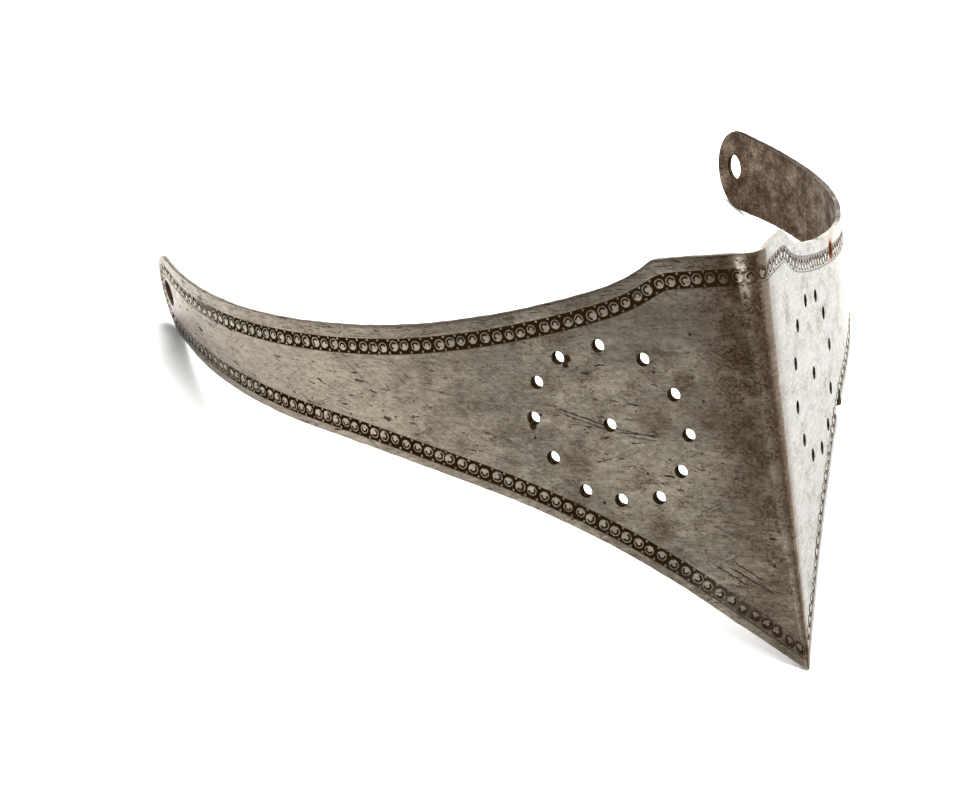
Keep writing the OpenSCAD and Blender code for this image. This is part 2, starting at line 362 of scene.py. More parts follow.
def outline(side):
    """The edge of one half on the pattern, from the sight edge round the tab to the chin."""
    up, tail = lower_edge(side)
    swing = np.linspace(pi / 2 + REAR_TURN, -pi / 2 + tail, TAB_POINTS)
    tab = on_pattern(TAB[0] + TAB_R * np.cos(swing), TAB[1] + TAB_R * np.sin(swing))
    keel_top, chin = (float(keel_span(np.float64(h))[0]) for h in (KEEL_H, 0))
    top = edge_at(upper_up, np.linspace(keel_top, tab[0, 0], EDGE_POINTS))
    low = edge_at(up, np.linspace(tab[-1, 0], chin, EDGE_POINTS))
    return np.vstack([top[:-1], tab, low[1:]])


# Mesh of one half


def smooth_step(x):
    """Eases from 0 to 1 as x goes from 0 to 1."""
    x = np.clip(x, 0, 1)
    return x * x * (3 - 2 * x)


class Border:
    """Lines along a half's edge at any distance inside it, which carry the margin and the etched border.

    Every list here has one entry for each distance s along the edge, and runs on a little past both ends."""

    FINE = 0.1  # distance between entries
    WEAR = 1.2  # reach over which wear rounds off the edge's corners
    ROUNDING = 3.0  # reach over which the border rounds them off
    TAILS = 4  # how many reaches the rounding looks to each side
    RUN_ON = 16.0
    END = 10  # entries that give the direction in which it runs on
    FADE = 16.0  # length over which cross lines turn to follow the middle plane
    FILING = 0.025  # unevenness left by the file, in waves
    FILE_WAVES = (0.6, 0.27, 1.1)  # radians for each millimetre
    MARGIN_FADE = (8.0, 42.0)  # distances from the tab's tip over which the margin widens

    def __init__(self, side):
        edge = even(outline(side), self.FINE)
        self.length = lengths(edge)[-1]
        run_on = np.arange(1, int(self.RUN_ON / self.FINE))[:, None]
        before = edge[0] + run_on[::-1] * (edge[0] - edge[self.END]) / self.END
        after = edge[-1] + run_on * (edge[-1] - edge[-1 - self.END]) / self.END
        line = np.vstack([before, edge, after])
        self.s = (np.arange(len(line)) - len(before)) * self.FINE
        self.edge_inward = self.directions(line)[1]
        wobble = float(len(self.FILE_WAVES))
        for wave, start in zip(self.FILE_WAVES, (0, 1, side)):
            wobble = wobble + np.sin(wave * self.s + start)
        wobble *= smooth_step(np.minimum(self.s, self.length - self.s) / self.FADE)
        self.edge = self.rounded(line, self.WEAR) + self.FILING * wobble[:, None] * self.edge_inward
        self.smooth = self.rounded(line, self.ROUNDING)
        self.travel, self.inward = self.directions(self.smooth)
        tab = self.s[np.argmax(self.edge[:, 0])]
        near, far = self.MARGIN_FADE
        margin_ends = [tab - far, tab - near, tab + near, tab + far]
        margin = np.interp(self.s, margin_ends, [MARGIN_TOP, MARGIN_END, MARGIN_END, MARGIN_LOW])
        self.offset = margin + BORDER_W / 2
        self.slant = self.slants()
        self.run = lengths(self.smooth + self.offset[:, None] * self.inward)
        ends = np.array([0, self.length])
        first, last = self.at(self.run, self.foot(ends, self.at(self.offset, ends)))
        self.rings = round((last - first) / RING_PITCH)
        self.run = (self.run - first) / (last - first) * self.rings

    def rounded(self, line, reach):
        """A line with its corners rounded off over a reach."""
        count = int(self.TAILS * reach / self.FINE)
        weight = np.exp(-0.5 * (np.arange(-count, count + 1) * self.FINE / reach) ** 2)
        padded = np.pad(line, ((count, count), (0, 0)), mode="reflect", reflect_type="odd")
        return np.stack([np.convolve(c, weight / weight.sum(), "valid") for c in padded.T], -1)

    @staticmethod
    def directions(line):
        """Unit vectors along a line and to its right, which is into the plate."""
        travel = np.gradient(line, axis=0)
        travel /= np.linalg.norm(travel, axis=1)[:, None]
        return travel, np.stack([travel[:, 1], -travel[:, 0]], -1)

    def at(self, values, s):
        """One of this border's lists, read off at distances s along the edge."""
        if values.ndim == 1:
            return np.interp(s, self.s, values)
        return np.stack([np.interp(s, self.s, c) for c in values.T], -1)

    def slants(self):
        """How much the cross lines slant, so that at both ends they run along the middle plane."""
        slant = np.zeros(len(self.s))
        for end, way in ((0, -1), (self.length, 1)):
            q = self.at(self.edge, end)[1]
            middle = way * np.array([keel_span(q + 1)[0] - keel_span(q)[0], 1])
            share = (middle @ self.at(self.travel, end)) / (middle @ self.at(self.inward, end))
            slant += share * (1 - smooth_step(np.abs(self.s - end) / self.FADE))
        return slant

    def foot(self, s, distance):
        """Where the edge is nearest to the point at a distance inward on the cross line from s."""
        return s + distance * self.at(self.slant, s)

    def columns(self):
        """Distances along the edge at which the mesh has cross lines, closer together at the chin."""
        steps, s = [], self.length
        while s > 0:
            steps.append(s)
            s -= CHIN_STEP + (EDGE_STEP - CHIN_STEP) * smooth_step((self.length - s) / CHIN_REACH)
        steps = np.array(steps[::-1])
        return (steps - steps[0]) * self.length / (self.length - steps[0])


class Sheet:
    """Places on the pattern with their depth, their place along and across the border, and their faces."""

    PLAIN = 9.0  # across-border value of places far from the border

    def __init__(self, part, places, faces, depth=0.0, run=0.0, across=PLAIN):
        self.part = part
        self.faces = faces
        self.places = places.reshape(-1, 2)
        spread = [np.broadcast_to(v, places.shape[:-1]).ravel() for v in (depth, run, across)]
        self.depth, self.run, self.across = spread

    def points(self, side):
        """Points of the sheet at rest, with the hammer's unevenness and the etched ground."""
        p, q = self.places.T
        flat = at_rest(plate_point(p, q, np.zeros(len(p))), side)
        sunk = hammered(flat) + dented(side, p, q) + ETCH_DEPTH * etched(self.run, self.across)
        return at_rest(plate_point(p, q, self.depth + sunk), side)


def hammered(points):
    """How far below its true face the plate lies, as the hammer left it."""
    waves = sum(np.sin((points * wave).sum(1) + start) for wave, start in HAMMER_WAVES)
    return HAMMER_DEPTH * (1 + waves / len(HAMMER_WAVES))


def dented(side, p, q):
    """Depth of the small dents."""
    depth = np.zeros(len(p))
    for dent_side, dent_p, dent_q, radius, dent_depth in DENTS:
        if side == dent_side:
            depth += dent_depth * np.exp(-((p - dent_p) ** 2 + (q - dent_q) ** 2) / radius**2)
    return depth


def etched(run, across):
    """How deeply the border is etched, from 0 on its rings and outside it to 1 on its ground."""
    from_ring = np.hypot((run % 1 - 0.5) * RING_PITCH, across)
    ground = smooth_step((from_ring - DISC_R) / ETCH_SLOPE)
    return ground * smooth_step((BORDER_W / 2 - np.abs(across)) / ETCH_SLOPE)


def grid_faces(rows, columns):
    """Four-sided faces over a grid of places."""
    corner = (np.arange(rows - 1)[:, None] * columns + np.arange(columns - 1)).ravel()
    return np.stack([corner, corner + 1, corner + columns + 1, corner + columns], -1).tolist()


def border_strip(border):
    """The margin and the border: rows of places from the rounded edge inward, and where they are on it."""
    s = border.columns()
    edge = border.at(border.edge, s) + EDGE_ROUND * border.at(border.edge_inward, s)
    acrosses = np.linspace(-0.5, 0.5 + 1 / BORDER_ROWS, BORDER_ROWS + 2) * BORDER_W
    rows, runs = [], []
    for across in acrosses:
        foot = border.foot(s, border.at(border.offset, s) + across)
        inward = (border.at(border.offset, foot) + across)[:, None] * border.at(border.inward, foot)
        rows.append(border.at(border.smooth, foot) + inward)
        runs.append(border.at(border.run, foot))
    shares = np.arange(MARGIN_ROWS) / MARGIN_ROWS
    margin = [edge + share * (rows[0] - edge) for share in shares]
    margin_across = -BORDER_W / 2 - MARGIN_LOW * (1 - shares)
    across = np.append(margin_across, acrosses)[:, None]
    run = np.array(runs[:1] * MARGIN_ROWS + runs)
    ease(border, run, 0, np.zeros(len(run)))
    ease(border, run, -1, np.full(len(run), border.rings))
    return np.array(margin + rows), run, across


def edge_rows(border):
    """Rows of places and depths over the rounded edge, from the outer face to the inner one."""
    s = border.columns()
    edge, inward = border.at(border.edge, s), border.at(border.edge_inward, s)
    inset, depth = EDGE_ROUND * (1 - np.sin(EDGE_TURNS)), EDGE_ROUND * (1 - np.cos(EDGE_TURNS))
    insets = np.append(inset, inset[::-1])[:, None, None]
    depths = np.append(depth, PLATE_T - depth[::-1])[:, None]
    places = edge + insets * inward
    # The edge is cut square to the middle plane, so deeper places follow its slope in the side view
    _, back, up = plate_point(*edge.T, np.zeros(len(s))).T
    slope = np.clip(np.gradient(up) / np.gradient(back), -STEEPEST_CUT, STEEPEST_CUT)
    _, deep_back, deep_up = np.moveaxis(plate_point(*np.broadcast_arrays(*edge.T, depths)), -1, 0)
    places[..., 1] += (deep_back - back) * slope - (deep_up - up)
    return places, depths


def meet(halves, rows):
    """Ends the rows of both halves at the same places on the middle plane, and eases the rest to them."""
    for end in (0, -1):
        q = np.mean([places[:, end, 1] for places in rows], 0)
        shared = np.stack([keel_span(q)[0], q], -1)
        for border, places in zip(halves, rows):
            ease(border, places, end, shared)


def ease(border, rows, end, target):
    """Moves one end of the rows to its target, and what lies near it by a share that fades out."""
    s = border.columns()
    share = 1 - smooth_step(np.abs(s - s[end]) / border.FADE)
    share = share.reshape((1, -1) + (1,) * (rows.ndim - 2))
    rows += share * (target - rows[:, end])[:, None]


def within(points, loop):
    """Which points lie inside a closed loop."""
    x, y = points[:, :1], points[:, 1:]
    (ax, ay), (bx, by) = loop.T, np.roll(loop, -1, 0).T
    crosses = (ay > y) != (by > y)
    with np.errstate(divide="ignore", invalid="ignore"):
        left = x < ax + (y - ay) * (bx - ax) / (by - ay)
    return (crosses & left).sum(1) % 2 == 1


def face_fill(part, rim, depth):
    """A face within its rim, closed by the middle plane: fine across the keel, coarser elsewhere."""
    rise = np.arange(rim[-1, 1], rim[0, 1], KEEL_STEP)[1:]
    middle, crease = keel_span(rise)
    loop = np.vstack([rim, np.stack([middle, rise], -1)])
    shares = np.arange(1, KEEL_COLUMNS + 2)[:, None] / KEEL_COLUMNS
    keel = np.stack(np.broadcast_arrays(middle + shares * (crease - middle), rise), -1)
    most = loop.max(0)
    grid = np.mgrid[0:most[0]:FACE_STEP, 0:most[1]:FACE_STEP].reshape(2, -1).T
    grid = grid[grid[:, 0] > keel_span(grid[:, 1])[1] + FACE_STEP / 2]
    inside = np.vstack([grid, keel.reshape(-1, 2)])
    inside = inside[within(inside, loop)]
    gap = np.array([np.min(np.sum((loop - place) ** 2, 1)) for place in inside])
    places = np.vstack([loop, inside[gap > RIM_GAP**2]])
    ring = np.arange(len(loop))
    walls = np.stack([ring, np.roll(ring, -1)], -1).tolist()
    vectors = [Vector(place) for place in places]
    faces = delaunay_2d_cdt(vectors, walls, [], TRIANGLES_INSIDE, TRIANGLE_EPSILON)[2]
    return Sheet(part, places, faces, depth)


def half_sheets(strip, rim):
    """The sheets of one half: border strip, edge, outer face and inner face."""
    places, run, across = strip
    rim_places, rim_depth = rim
    return [
        Sheet(OUTER, places, grid_faces(*places.shape[:2]), 0.0, run, across),
        Sheet(EDGE, rim_places, grid_faces(*rim_places.shape[:2]), rim_depth),
        face_fill(OUTER, places[-1], 0.0),
        face_fill(INNER, rim_places[-1], PLATE_T),
    ]


def plate_mesh():
    """The face plate's closed mesh, before its holes are cut, with pattern places as UV maps."""
    borders = [Border(side) for side in (LEFT, RIGHT)]
    strips = [border_strip(border) for border in borders]
    rims = [edge_rows(border) for border in borders]
    meet(borders, [strip[0] for strip in strips])
    meet(borders, [rim[0] for rim in rims])
    points, flat, border, faces, parts = [], [], [], [], []
    count = 0
    for side, strip, rim in zip((LEFT, RIGHT), strips, rims):
        for sheet in half_sheets(strip, rim):
            points.append(sheet.points(side) * MM)
            flat.append(sheet.places * (side, 1))
            border.append(np.stack([sheet.run, sheet.across], -1))
            faces += [[count + corner for corner in face] for face in sheet.faces]
            parts += [sheet.part] * len(sheet.faces)
            count += len(sheet.places)
    mesh = bpy.data.meshes.new(PIECE)
    mesh.from_pydata(np.vstack(points).tolist(), [], faces)
    mesh.polygons.foreach_set("material_index", parts)
    corners = np.empty(len(mesh.loops), np.int32)
    mesh.loops.foreach_get("vertex_index", corners)
    for name, values in (("flat", flat), ("border", border)):
        mesh.uv_layers.new(name=name).data.foreach_set("uv", np.vstack(values)[corners].ravel())
    shape = bmesh.new()
    shape.from_mesh(mesh)
    bmesh.ops.remove_doubles(shape, verts=shape.verts, dist=WELD * MM)
    bmesh.ops.recalc_face_normals(shape, faces=shape.faces)
    shape.to_mesh(mesh)
    shape.free()
    return mesh


# Holes and notch


def turned_solid(shape, part, side, place, profile):
    """Adds a solid turned about a hole's axis at a place on the pattern, from depths and radii."""
    p, q = (np.array([v]) for v in place)
    probe = 0.01
    at, along, below = (
        Vector(at_rest(plate_point(p + ahead, q, np.array([depth])), side)[0])
        for ahead, depth in ((0, 0), (probe, 0), (0, PLATE_T))
    )
    inward = (below - at).normalized()
    along = (along - at).normalized()
    up = inward.cross(along)
    rings = []
    for depth, radius in profile:
        turns = (2 * pi * i / HOLE_SIDES for i in range(HOLE_SIDES))
        circle = ((along * cos(t) + up * sin(t)) * radius for t in turns)
        rings.append([shape.verts.new((at + inward * depth + spoke) * MM) for spoke in circle])
    close(shape, part, rings)


def close(shape, part, rings):
    """Adds the faces of a solid: between its rings of corners, and over the first and the last."""
    faces = [shape.faces.new(rings[0]), shape.faces.new(rings[-1])]
    for ring, after in zip(rings, rings[1:]):
        for i in range(len(ring)):
            faces.append(shape.faces.new((ring[i - 1], ring[i], after[i], after[i - 1])))
    for face in faces:
        face.material_index = part


def hole_cutter(shape, part, side, place, radius):
    """Adds a cutter for a hole, flared at its outer end."""
    flare = [(-CUT_REACH, FLARE_OUT), (0.0, FLARE), (FLARE / 3, FLARE / 3), (FLARE, 0.0)]
    profile = [(depth, radius + grow) for depth, grow in flare]
    turned_solid(shape, part, side, place, profile + [(PLATE_T + LIP_H + CUT_REACH, radius)])


def breath_places(side):
    """Places of one cheek's breaths on the pattern: one in the middle and a ring round it."""
    places = [RING_AT]
    for i, (swing, stray) in enumerate(zip(RING_SWING[side], RING_STRAY[side])):
        turn = radians(360 * i / len(RING_SWING[side]) + swing)
        places.append(RING_AT + np.array([cos(turn), sin(turn)]) * (RING_R + stray))
    return places


def notch_cutter(shape):
    """Adds a block for the notch in the left half's lower edge."""
    up = lower_edge(LEFT)[0]
    backs = np.array([NOTCH_BACK, NOTCH_BACK + NOTCH_LEN])
    tops = up(backs) + NOTCH_DEPTH
    sides = []
    for out in NOTCH_REACH:
        worn = [(out, backs[0], 0), (out, backs[1], 0), (out, backs[1], tops[1]), (out, backs[0], tops[0])]
        sides.append([shape.verts.new(Vector(v) * MM) for v in at_rest(np.array(worn), LEFT)])
    close(shape, HOLE, sides)


def cutters_mesh():
    """Cutters for the breaths, the pivot holes, the catch hole and the notch."""
    shape = bmesh.new()
    for side in (LEFT, RIGHT):
        for place in breath_places(side):
            hole_cutter(shape, HOLE, side, place, BREATH_R)
        hole_cutter(shape, HOLE, side, on_pattern(*(TAB + PIVOT_SHIFT)), PIVOT_R)
    hole_cutter(shape, RUSTY, LEFT, CATCH_AT, CATCH_R)
    notch_cutter(shape)
    return solid_mesh("Cutters", shape)


def lips_mesh():
    """Lips that the punch raised round the breaths, on the inside."""
    shape = bmesh.new()
    foot, tip = BREATH_R + LIP_FOOT, BREATH_R + LIP_TIP
    profile = [(PLATE_T - LIP_SINK, foot), (PLATE_T, foot), (PLATE_T + LIP_H, tip)]
    for side in (LEFT, RIGHT):
        for place in breath_places(side):
            turned_solid(shape, INNER, side, place, profile)
    return solid_mesh("Lips", shape)


def solid_mesh(name, shape):
    """A mesh of closed solids, facing outward."""
    bmesh.ops.recalc_face_normals(shape, faces=shape.faces)
    mesh = bpy.data.meshes.new(name)
    shape.to_mesh(mesh)
    shape.free()
    return mesh


def cut(plate, lips, cutters):
    """Adds the lips, cuts the holes, and shades the mesh smooth apart from its sharp edges."""
    for operation, tool in (("UNION", lips), ("DIFFERENCE", cutters)):
        modifier = plate.modifiers.new(tool.name, "BOOLEAN")
        modifier.operation = operation
        modifier.solver = "EXACT"
        modifier.object = tool
    graph = bpy.context.evaluated_depsgraph_get()
    drilled = bpy.data.meshes.new_from_object(plate.evaluated_get(graph))
    plate.modifiers.clear()
    plate.data = drilled
    for tool in (lips, cutters):
        bpy.data.objects.remove(tool)
    shape = bmesh.new()
    shape.from_mesh(drilled)
    bmesh.ops.remove_doubles(shape, verts=shape.verts, dist=WELD * MM)
    bmesh.ops.dissolve_degenerate(shape, edges=shape.edges, dist=WELD * MM)
    for face in shape.faces:
        face.smooth = True
    for edge in shape.edges:
        parts = {face.material_index for face in edge.link_faces}
        rim = len(parts) > 1 and bool(parts & {HOLE, RUSTY})
        edge.smooth = not rim and edge.calc_face_angle(0.0) < SHARP_TURN
    shape.to_mesh(drilled)
    shape.free()


def new_object(name, mesh, materials=()):
    """An object in the scene with this mesh."""
    thing = bpy.data.objects.new(name, mesh)
    for material in materials:
        mesh.materials.append(material)
    bpy.context.scene.collection.objects.link(thing)
    return thing


# Materials
#
# A grain is what Tree.noise() takes: length and width, turn, detail and roughness. A ramp is what
# Tree.rise() takes: the values between which a mask eases, and what it eases from and to. A pair of a
# value and its ramp stands for a mask.


class Tree:
    """Short forms for the nodes of one material."""

    SPOT_RIM = (1.5, 0.9)  # where a spot starts and where it is full, in radii
    SCRATCH_WANDER = 6.0  # how far a scratch can wander, in half widths
    SCRATCH_ENDS, SCRATCH_RIM = (1.0, 0.7), (1.0, 0.4)

    def __init__(self, name):
        self.material = bpy.data.materials.new(name)
        self.material.use_nodes = True
        self.nodes = self.material.node_tree.nodes
        self.links = self.material.node_tree.links
        self.shader = self.nodes["Principled BSDF"]

    def put(self, socket, value):
        """Links an output, or an output with its ramp, to a socket, or sets the socket's own value."""
        if isinstance(value, tuple) and isinstance(value[0], bpy.types.NodeSocket):
            value = self.rise(value[0], *value[1])
        if isinstance(value, bpy.types.NodeSocket):
            self.links.new(value, socket)
        else:
            socket.default_value = (*value, 1) if socket.type == "RGBA" else value

    def add(self, kind, *values, **settings):
        """A node with these settings, and with values or links for its first inputs."""
        node = self.nodes.new("ShaderNode" + kind)
        for name, value in settings.items():
            setattr(node, name, value)
        for socket, value in zip(node.inputs, values):
            self.put(socket, value)
        return node

    def math(self, operation, *values):
        """The result of one step of arithmetic."""
        return self.add("Math", *values, operation=operation).outputs[0]

    def most(self, *masks):
        """The greatest of some masks."""
        return reduce(partial(self.math, "MAXIMUM"), masks)

    def times(self, *masks):
        """The product of some masks."""
        return reduce(partial(self.math, "MULTIPLY"), masks)

    def rest(self, mask):
        """What a mask leaves out."""
        return self.math("SUBTRACT", 1.0, mask)

    def rise(self, value, low, high, least=0.0, most=1.0):
        """Eases from least to most as a value goes from low to high."""
        values = value, low, high, least, most
        return self.add("MapRange", *values, interpolation_type="SMOOTHSTEP").outputs[0]

    def near(self, value, target, *ramp):
        """A ramp over the distance between a value and its target."""
        return self.rise(self.math("ABSOLUTE", self.math("SUBTRACT", value, target)), *ramp)

    def reach(self, x, y):
        """Distance from the middle of two axes."""
        return self.math("SQRT", self.math("MULTIPLY_ADD", x, x, self.math("MULTIPLY", y, y)))

    def uv(self, name):
        """A UV map's places, and their two coordinates."""
        place = self.add("UVMap", uv_map=name).outputs[0]
        return place, *self.add("SeparateXYZ", place).outputs[:2]

    def turned(self, place, at=(0, 0), turn=0.0, size=(1, 1)):
        """Places seen from a point, along a turned axis, in units of a length and a width."""
        values = place, (*at, 0), (0, 0, turn), (*size, 1)
        return self.add("Mapping", *values, vector_type="TEXTURE").outputs[0]

    def noise(self, place, size, turn=0.0, detail=3.0, rough=0.55):
        """Noise with grains of a length and a width, from about 0.2 to 0.8."""
        node = self.add("TexNoise", self.turned(place, turn=turn, size=size))
        for name, number in {"Scale": 1.0, "Detail": detail, "Roughness": rough}.items():
            self.put(node.inputs[name], number)
        return node.outputs[0]

    def mix(self, share, first, second):
        """One colour fading into another."""
        node = self.add("Mix", share, data_type="RGBA")
        self.put(node.inputs[6], first)
        self.put(node.inputs[7], second)
        return node.outputs[2]

    def scale(self, colour, factor):
        """A colour made lighter or darker."""
        node = self.add("VectorMath", colour, operation="SCALE")
        self.put(node.inputs["Scale"], factor)
        return node.outputs[0]

    def spot(self, place, at, radius, ragged, torn=1.0, rim=SPOT_RIM, strength=1.0):
        """A round mark whose rim is torn by a ragged noise."""
        away = self.add("VectorMath", place, (*at, 0), operation="DISTANCE").outputs["Value"]
        away = self.math("MULTIPLY_ADD", ragged, torn * radius, away)
        return self.rise(away, rim[0] * radius, rim[1] * radius, 0.0, strength)

    def scratch(self, place, start, end, width, ragged):
        """A straight scratch from one place to another, broken up along its length."""
        start, end = np.array(start), np.array(end)
        run = end - start
        turn, size = atan2(run[1], run[0]), (np.hypot(*run) / 2, width)
        place = self.turned(place, (start + end) / 2, turn, size)
        along, across, _ = self.add("SeparateXYZ", place).outputs
        inside = self.rise(self.math("ABSOLUTE", along), *self.SCRATCH_ENDS)
        across = self.math("SUBTRACT", across, self.SCRATCH_WANDER / 2)
        across = self.math("MULTIPLY_ADD", ragged, self.SCRATCH_WANDER, across)
        return self.times(inside, self.rise(self.math("ABSOLUTE", across), *self.SCRATCH_RIM))

    def finish(self, colour, roughness, metallic, height, depth):
        """Links the results to the shader, with a bump of the given depth in millimetres."""
        bump = self.add("Bump")
        self.put(bump.inputs["Distance"], depth * MM)
        self.put(bump.inputs["Height"], height)
        names = "Base Color", "Roughness", "Metallic", "Specular IOR Level", "Normal"
        for name, value in zip(names, (colour, roughness, metallic, SHINE, bump.outputs[0])):
            self.put(self.shader.inputs[name], value)
        return self.material


# Border: luck of each ring, rims of its marks in millimetres, ends of the C in turns, and wear
SIDE_SEED = 500
LUCK_STRAY = (0, 1, -0.22, 0.22)
LUCK_SIZE = (0, 1, 0.93, 1.09)
LUCK_TURN = (0, 1, 0.38, 0.62)
WOBBLE = ((0.7, 0.7), 0, 2)
RING_WOBBLE, DOT_WOBBLE, EDGE_WOBBLE = 0.5, 0.25, 0.3
DISC_RIM = (DISC_R + 0.1, DISC_R - 0.12)
OUTLINE_RIM = (0.28, 0.1)
DOT_RIM = (0.42, 0.24)
ARC_RIM = (0.4, 0.17)
ARC_START = (0, 0.06)
ARC_END = (0.68, 0.62)
BAND_RIM = (BORDER_W / 2 + 0.08, BORDER_W / 2 - 0.12)
LINE_RIM = (0.34, 0.1, 0, 0.8)
LEFT_SIDE = (-0.5, 0.5)
LEFT_WEAR = (-1.6, -0.6, 0.5, 0.85)
CHIN_WEAR = (30, 8, 0, 0.7)
TAB_WEAR = (165, 205, 0, 0.75)
KEEL_WEAR = (2, 12, 0.55, 1)
LINES_SHOW = (0.2, 0.6)
MARGIN_RIM = (-BORDER_W / 2, -BORDER_W / 2 - 0.4)
UPPER_RUN = (75, 65)
SCUFF_GRAIN = ((4, 0.4), 0, 3)
SCUFFED = (0.57, 0.62, 0, 0.75)


def ring_marks(tree, run, across, side, wobble):
    """Masks of the border's discs, their outlines and the C on each, all a little off their even places."""
    luck = tree.add("TexWhiteNoise", noise_dimensions="1D")
    tree.put(luck.inputs["W"], tree.math("MULTIPLY_ADD", side, SIDE_SEED, tree.math("FLOOR", run)))
    luck_x, luck_y, luck_turn = tree.add("SeparateXYZ", luck.outputs["Color"]).outputs
    x = tree.math("SUBTRACT", tree.math("FRACT", run), 0.5)
    x = tree.math("MULTIPLY_ADD", x, RING_PITCH, (luck_x, LUCK_STRAY))
    y = tree.math("ADD", across, (luck_y, LUCK_STRAY))
    away = tree.math("MULTIPLY_ADD", wobble, RING_WOBBLE, tree.reach(x, y))
    away = tree.times(away, (luck_turn, LUCK_SIZE))
    turn = tree.math("ARCTAN2", y, x)
    turn = tree.math("MULTIPLY_ADD", turn, 0.5 / pi, (luck_turn, LUCK_TURN))
    turn = tree.math("FRACT", tree.math("ADD", turn, 1.0))
    arc = tree.near(away, ARC_R, *ARC_RIM)
    arc = tree.times(arc, (turn, ARC_START), (turn, ARC_END))
    return tree.rise(away, *DISC_RIM), tree.near(away, DISC_R, *OUTLINE_RIM), arc


def dot_marks(tree, run, across, wobble):
    """Mask of the bright dots between the discs, along both sides of the border."""
    x = tree.math("SUBTRACT", tree.math("FRACT", tree.math("ADD", run, 0.5)), 0.5)
    x = tree.math("MULTIPLY", x, RING_PITCH)
    y = tree.math("SUBTRACT", tree.math("ABSOLUTE", across), DOT_AT)
    return tree.rise(tree.math("MULTIPLY_ADD", wobble, DOT_WOBBLE, tree.reach(x, y)), *DOT_RIM)


def border_marks(tree, flat, side, q, back):
    """Masks of the etched border: dark ground and lines, bright discs, and scuffs on the upper margin.

    The ground is rubbed off near the chin, at the arm ends and on the wearer's left, where only the
    lines are left."""
    _, run, across = tree.uv("border")
    wobble = tree.math("SUBTRACT", tree.noise(flat, *WOBBLE), 0.5)
    disc, outline, arc = ring_marks(tree, run, across, side, wobble)
    dot = dot_marks(tree, run, across, wobble)
    edge = tree.math("MULTIPLY_ADD", wobble, EDGE_WOBBLE, tree.math("ABSOLUTE", across))
    band = tree.rise(edge, *BAND_RIM)
    left = tree.times((side, LEFT_SIDE), (across, LEFT_WEAR))
    plain = tree.most(left, (q, CHIN_WEAR), (back, TAB_WEAR))
    ground = tree.times(band, tree.rest(disc), tree.rest(dot), tree.rest(plain), (back, KEEL_WEAR))
    rim = tree.near(edge, BORDER_W / 2, *LINE_RIM)
    outline = tree.times(tree.most(outline, rim), (plain, LINES_SHOW))
    lines = tree.times(tree.most(arc, outline), band)
    margin = tree.times((across, MARGIN_RIM), (run, UPPER_RUN))
    scuffs = tree.times(margin, (tree.noise(flat, *SCUFF_GRAIN), SCUFFED))
    return tree.most(ground, lines), tree.times(disc, band), scuffs


# Brushed steel: its grains, and how they and the place set its tone
MOTTLE = ((30, 20), 0, 5)
GRIT = ((2.2, 1.6), 0, 6, 0.75)
BRUSH = ((10, 0.4), 0, 3, 0.7)
CROSS_BRUSH = ((6, 0.4), radians(-36), 3, 0.7)
MOTTLED = (0.35, 0.65)
GREY_CHEEK = (2, 8, 0, 0.75)
WARM_ARM = (70, 120, 0, 0.85)
BRUSHED = (0.3, 0.7, 0.74, 1.02)
CROSS_BRUSHED = (0.3, 0.7, -0.04, 0.16)
GRITTY = (0.3, 0.7, -0.22, 0.3)
LEFT_GRIT = (0, 6, 1, 0.3)
ARM_FADE = (80, 120, 1, 0.55)


def steel_tone(tree, flat, p, back):
    """Brushed steel before stains: mottled, greyer on the left cheek and warmer towards the arms."""
    mottle, brush, cross, grit = (tree.noise(flat, *kind) for kind in (MOTTLE, BRUSH, CROSS_BRUSH, GRIT))
    colour = tree.mix((mottle, MOTTLED), STEEL_DARK, STEEL)
    colour = tree.mix((p, GREY_CHEEK), colour, STEEL_GREY)
    colour = tree.mix((back, WARM_ARM), colour, STEEL_WARM)
    lines = tree.math("ADD", (brush, BRUSHED), (cross, CROSS_BRUSHED))
    grit = tree.times((grit, GRITTY), (p, LEFT_GRIT), (back, ARM_FADE))
    lines = tree.math("ADD", lines, grit)
    return tree.scale(colour, lines), lines, mottle


# Keel: by the distance from its middle, in radii or millimetres, by height and by grain
KEEL_SIDES = (-1.2, 1.2)
KEEL_MIDDLE = KEEL_START - KEEL_TURN
KEEL_LINE = (KEEL_MIDDLE + 0.3, KEEL_MIDDLE + 0.05, 0, 0.75)
LINE_GRAIN = (0.36, 0.56, 0.3, 1)
# LEFT_BROWN and LEFT_BROWN_UP paint the far half of the keel and a fringe past its crease brown: partly
# patina, partly painted shade that eases the keel's shaded far half into the lit cheek
LEFT_BROWN = (4.2, 0.4)
LEFT_BROWN_UP = (50, 90, 1, 0.7)
RIGHT_BROWN = (26, 6)
RIGHT_BROWN_UP = (0, 90, 0.4, 1)
# CREASE_* place a painted highlight: a bright strip on the near half of the keel, between its middle and the
# crease, mostly near the top; it is partly rubbed steel and partly the light that the keel's crest catches
CREASE_AT = KEEL_START - 0.5
CREASE_RIM = (0.42, 0.1)
CREASE_UP = (92, 100, 0.2, 0.95)
CREASE_GRAIN = (0.38, 0.52)


